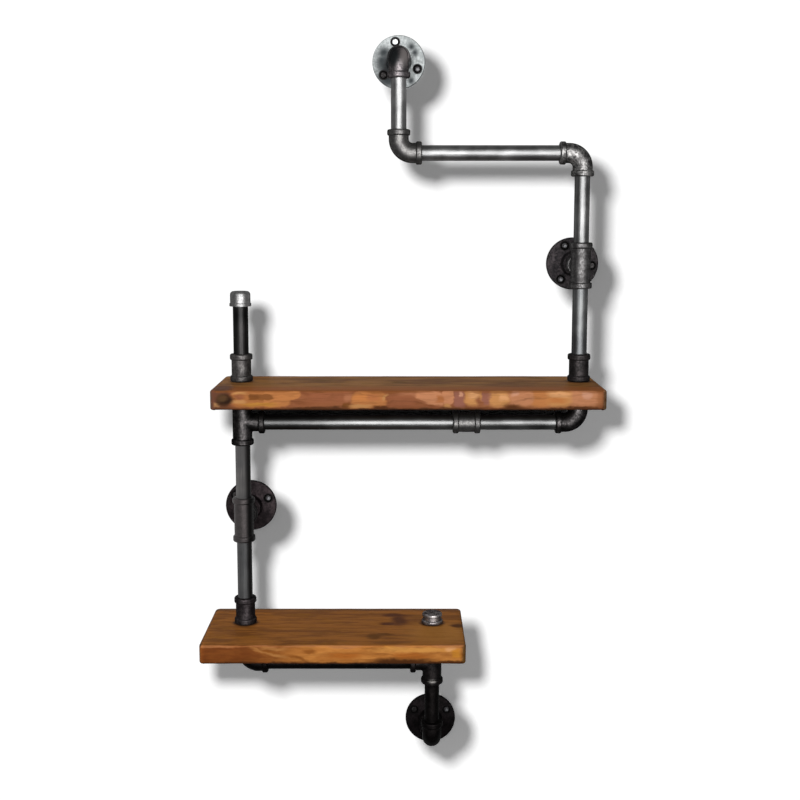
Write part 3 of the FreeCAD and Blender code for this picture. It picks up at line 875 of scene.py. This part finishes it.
# %% Upper plank's tones and front
# One of the tones is for the painted shade along the front's low rim.
upper_tones = {
    "top": "#885e32", "top_dark": "#634125", "top_stain": "#755529", "front": "#935a3a",
    "front_dark": "#7d482b", "low_rim_shade": "#4f2f1c", "arris": "#7c4924", "late": "#5e3a22",
    "stripe_mm": (90, 24, 24),
}
upper_front = [
    ("#63402f", 0.45, [on_front(-244, -460, 17, 16)]),
    ("#ad7048", 0.2, [on_front(184, -461.5, 94, 12)]),
    ("#94593b", 0.4, [on_front(-104, -459, 17, 8), on_front(-78, -459, 10, 8), on_front(5, -464, 18, 8)]),
    ("#a86c4b", 0.6, [on_front(14, -454, 13, 3.5), on_front(-68, -460, 5, 5)]),
    ("#a5683a", 0.14, [on_front(-187, -462.5, 36, 11.5)]),
    ("#b67543", 0.12, [on_front(-162, -461, 19, 11, 4), on_front(-146, -457.8, 15.5, 6.8, 14),
                       on_front(-40, -462.5, 22.5, 11.5)]),
    ("#c07c48", 0.14, [on_front(189, -460, 12.5, 12)]),
    ("#c2835c", 0.16, [on_front(42, -459, 20, 9, -12), on_front(66, -459, 8, 10),
                       on_front(164, -460, 16.5, 11.5), on_front(246, -460, 19, 12)]),
    ("#976150", 0.25, [on_front(81.5, -461.5, 7.5, 12), on_front(117, -459.5, 6, 11)]),
    ("#c98d55", 0.25, [on_front(134, -460.5, 12, 12), on_front(100, -459.5, 11, 11),
                       on_front(215, -460.5, 16, 12)]),
    ("#dca06c", 0.5, [on_front(140, -460, 6, 4.5), on_front(101, -457, 6, 5),
                      on_front(214, -455.5, 14, 4)]),
    ("#c27b44", 0.6, [on_front(-49, -460, 10, 6), on_front(211, -464, 12, 4)]),
    ("#b26e42", 0.45, [on_front(55, -461.5, 5, 4.5), on_front(-34, -460, 8, 4)]),
    ("#87532b", 0.12, [on_front(-185, -459.5, 16.5, 4.3)]),
    ("#774722", 0.4, [on_front(-194, -459.5, 7, 3.2), on_front(-70.5, -471, 5, 4)]),
    ("#93593a", 0.6, [on_front(24, -462.6, 15, 1.8, -17), on_front(108, -466, 4, 6, 35),
                      on_front(-213, -460, 5, 3.5)]),
    ("#b98350", 0.5, [on_front(-212, -453.8, 9, 2.2), on_front(-214, -466, 9, 2.4),
                      on_front(-18.5, -459, 5, 1.8, 45), on_front(65, -471, 4.5, 2.6),
                      on_front(-51, -472, 14, 2.2)]),
    ("#a67a50", 0.5, [on_front(-246, -470, 6, 3.5)]),
    ("#b57c38", 0.5, [on_front(-186, -469.5, 22, 2.4)]),
    ("#cf9678", 0.5, [on_front(83.5, -455, 2.4, 2.6), on_front(155, -454, 4, 3),
                      on_front(252, -457, 6, 5)]),
    # Painted shade along the front's low edge.
    ("#5a3219", 0.5, [on_front(-24, -474.5, 10, 3.5), on_front(151, -473.5, 10, 4.5),
                      on_front(245, -475.5, 22, 3.2), on_front(-112, -475, 22, 2.5)]),
]
print("rows of marks on the upper front:", len(upper_front))

# %% Upper plank's top and knots
FOOT_RING_MM = 17.5


def feet(nodes):
    """Dark rings of shade and grime where fittings stand on a plank."""
    spots = [middle(node).x / MM for node in nodes]
    return ("#2c1c12", 0.22, [on_top(x, PIPE_Y / MM, FOOT_RING_MM, FOOT_RING_MM) for x in spots])


upper_top = [
    ("#85502a", 0.5, [on_top(0, -174, FAR, 36)]),
    ("#5c4018", 0.4, [on_top(-108, -80, 15, 7), on_top(0, -93, 12, 6), on_top(195, -51, 15, 6)]),
    # Painted shade along the top's back rim.
    ("#6b4c3c", 0.6, [on_top(0, -27, FAR, 9)]),
    ("#553828", 0.4, [on_top(-240, -150, 15, 26)]),
]
upper_knots = [
    ("#2c1b11", 0.45, [((-232.5, -174, -463), (11, 12, 9), (0, 0, 0))]),
    ("#513a25", 0.5, [((-236.5, -174, -460.5), (6.5, 12, 5), (0, 0, 0))]),
    ("#5a382b", 0.6, [on_top(-252.5, -173, 6, 8)]),
    ("#b88c66", 0.5, [on_top(279.5, -173, 4.5, 6)]),
    ("#4b392f", 0.5, [on_top(-253, 0, 2.8, FAR)]),
    feet(ON_UPPER),
]
upper_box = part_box("upper_board")
upper_wood = stained_pine("stained_pine_upper", upper_box, upper_tones, upper_front, upper_top, upper_knots)
dress(upper, upper_wood)
print("upper wood nodes", len(upper_wood.node_tree.nodes))

# %% [markdown]
# The lower plank is yellower. Its front fades from brown on the left to a light honey on the right, with a
# few streaks along the grain, and its top has dark stains. Its front has painted shade in a scoop along its
# low edge, and its top along its back rim. Its ends are as the upper plank's, but it has no knot.

# %% Lower plank's wood
FADE_MM = (-215, -95)
# One of the tones is for the painted shade along the front's low rim.
lower_tones = {
    "top": "#8a5728", "top_dark": "#6c4321", "top_stain": "#7d501d", "front": "#7e461e",
    "front_dark": "#6c3918", "light": "#c27f3e", "light_dark": "#ab6a30", "low_rim_shade": "#4c2a13",
    "arris": "#b07448", "late": "#5c3516", "stripe_mm": (70, 9, 9),
}
lower_front = [
    ("#a9713c", 0.7, [on_front(-188, -811.5, 14, 1.8, -16), on_front(-168, -817.5, 13, 1.8, -12),
                      on_front(-172, -808.5, 16, 1.8, -3)]),
    ("#8c5221", 0.6, [on_front(-178, -812.5, 10, 1.6, -12), on_front(-123, -812.5, 8, 2.4),
                      on_front(-139, -821.5, 13, 2, -20)]),
    ("#ac6428", 0.5, [on_front(18, -819, 24, 3.4), on_front(-75, -818, 20, 3.5)]),
    ("#cf9048", 0.5, [on_front(20, -809.5, 48, 3.4)]),
    ("#dca068", 0.6, [on_front(72, -809, 6, 3.2)]),
    ("#c8842f", 0.5, [on_front(79, -815.5, 6, 6)]),
    # Painted shade in a scoop along the front's low edge.
    ("#4c2a13", 0.4, [on_front(2, -830, 40, 7.5), on_front(62, -831.5, 34, 5)]),
]
lower_top = [
    ("#95642f", 0.6, [on_top(60, -125, 45, 40)]),
    ("#4c2b19", 0.6, [on_top(0, -74, 11, 20), on_top(-4, -53, 20, 6), on_top(-14, -88, 13, 6)]),
    ("#5a3817", 0.45, [on_top(-36, -139, 9, 11), on_top(-21, -129, 14, 3.5)]),
    ("#4a2c15", 0.5, [on_top(84, -95, 9, 8)]),
    # Painted shade along the top's back rim.
    ("#553c2c", 0.6, [on_top(0, -21, FAR, 9)]),
]
lower_ends = [
    ("#c08a50", 0.5, [on_top(93, -173, 4, 6)]),
    ("#4a3626", 0.5, [on_top(-275, 0, 2.8, FAR)]),
    feet(ON_LOWER),
]
lower_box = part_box("lower_board")
lower_wood = stained_pine(
    "stained_pine_lower", lower_box, lower_tones, lower_front, lower_top, lower_ends, FADE_MM)
dress(lower, lower_wood)
print("lower wood nodes", len(lower_wood.node_tree.nodes))

# %% [markdown]
# The photograph's shadow was put in by hand. Planks and flanges throw it as far as the pipes do, though the
# planks reach much farther from the wall and the flanges lie on it, and every shadow is a little wider than
# its piece. To get such a shadow, no piece blocks the wall lamp, and cards do so instead. A pipe's or a
# fitting's card is its own shape, a little swollen. A plank's or a flange's card is its outline as the
# camera sees it, pressed flat on the plane through the pipes' middle. Only the wall lamp sees the cards.

# %% Cards for the wall's shadow
ROUND_GROWTH = 2.8 * MM
FLAT_GROWTH = 4.6 * MM
MERGE = 0.01 * MM


def only_for_lamps(sheet):
    """Hides a card from the camera and from all light that bounces."""
    sheet.visible_camera = False
    sheet.visible_diffuse = False
    sheet.visible_glossy = False
    sheet.visible_transmission = False


def card(piece, growth, flat):
    """A swollen copy of a piece. A flat one is pressed on the pipes' plane, as the camera sees it."""
    mesh = bmesh.new()
    mesh.from_mesh(piece.data)
    bmesh.ops.remove_doubles(mesh, verts=mesh.verts, dist=MERGE)
    if flat:
        bmesh.ops.convex_hull(mesh, input=mesh.verts)
    mesh.normal_update()
    swollen = [piece.matrix_world @ (v.co + v.normal * growth) for v in mesh.verts]
    for v, spot in zip(mesh.verts, swollen):
        if flat:
            sight = spot - CAMERA_PLACE
            spot = CAMERA_PLACE + sight * (PIPE_Y - CAMERA_PLACE.y) / sight.y
        v.co = spot
    name = f"card_{piece.name}"
    made = bpy.data.objects.new(name, bpy.data.meshes.new(name))
    mesh.to_mesh(made.data)
    mesh.free()
    scene.collection.objects.link(made)
    only_for_lamps(made)
    return made


flat_pieces = [upper, lower] + [frame["nodes"][f"{flange}_flange"] for flange in seats]
round_pieces = [piece for name, piece in frame["nodes"].items() if not name.endswith(("_board", "_flange"))]
cards = [card(piece, FLAT_GROWTH, True) for piece in flat_pieces]
cards += [card(piece, ROUND_GROWTH, False) for piece in round_pieces]
print("cards", len(cards))

# %% [markdown]
# Between the upper plank and the pipe under it the photograph is black, and its shadow is closed there too.
# So one more card closes that gap for the wall lamp, and a black flag just off the wall keeps the light
# from the strip of wall that shows through the gap. The flag itself can't be seen.

# %% Card and flag for the dark gap
GAP_X_MM = (-232, 255)
GAP_CARD_Z_MM = (-505, -486)
FLAG_Z_MM = (-527, -496)
FLAG_Y_MM = -3


def upright_sheet(name, y_mm, z_mm):
    """A sheet as long as the gap, between two heights."""
    spot = Vector((sum(GAP_X_MM) / 2, y_mm, sum(z_mm) / 2)) * MM
    made = shaped(lambda: bpy.ops.mesh.primitive_plane_add(
        size=1, location=spot, rotation=(RIGHT_ANGLE, 0, 0)))
    made.name = name
    made.scale = ((GAP_X_MM[1] - GAP_X_MM[0]) * MM, (z_mm[1] - z_mm[0]) * MM, 1)
    bpy.ops.object.transform_apply(location=True, rotation=True, scale=True)
    return made


gap_card = upright_sheet("card_gap", PIPE_Y / MM, GAP_CARD_Z_MM)
only_for_lamps(gap_card)
cards.append(gap_card)

flag = upright_sheet("flag_behind_the_gap", FLAG_Y_MM, FLAG_Z_MM)
flag.visible_camera = False
flag.visible_glossy = False
flag.visible_transmission = False
black, tree = blank("black_flag")
cloth = add(tree, "ShaderNodeBsdfDiffuse", {"Color": linear("#000000")}, {})
add(tree, "ShaderNodeOutputMaterial", {}, {"Surface": cloth.outputs[0]})
flag.data.materials.append(black)
print("flag", GAP_X_MM[1] - GAP_X_MM[0], "mm long")

# %% [markdown]
# Now all is made, so each lamp is told what it lights and what blocks it. The wall's lamps light only the
# wall. The main one is blocked by the cards and the flag, and its twin by the flag alone. All other lamps
# light everything but the wall, and no card or flag is in their way. Pipes and fittings don't block the
# shelf's lamp, because the photograph shows none of their shadows on the planks. Last, the planks are left
# out of the light that bounces about, because their brown would tint the grey shadows on the wall.

# %% What each lamp lights
def linked(name, pieces, state):
    """A set of objects for light linking, all of them taken in or all of them left out."""
    group = bpy.data.collections.new(name)
    for piece in pieces:
        group.objects.link(piece)
    for entry in group.collection_objects:
        entry.light_linking.link_state = state
    return group


only_wall = linked("only_wall", [wall], "INCLUDE")
all_but_wall = linked("all_but_wall", [wall], "EXCLUDE")
out_of_the_way = [flag] + cards
LIT_AND_BLOCKED_BY = {
    wall_lamp: (only_wall, linked("wall_flag_and_cards", [wall] + out_of_the_way, "INCLUDE")),
    shadow_fill: (only_wall, linked("wall_and_flag", [wall, flag], "INCLUDE")),
    back_lamp: (all_but_wall, linked("not_wall_or_cards", [wall] + out_of_the_way, "EXCLUDE")),
    shelf_lamp: (all_but_wall, linked("not_round_or_cards", out_of_the_way + round_pieces, "EXCLUDE")),
    soft_box: (all_but_wall, linked("not_cards", out_of_the_way, "EXCLUDE")),
}
for light, (lit_by_it, blocks_it) in LIT_AND_BLOCKED_BY.items():
    light.light_linking.receiver_collection = lit_by_it
    light.light_linking.blocker_collection = blocks_it
upper.visible_diffuse = False
lower.visible_diffuse = False
print("lamps", len(LIT_AND_BLOCKED_BY))
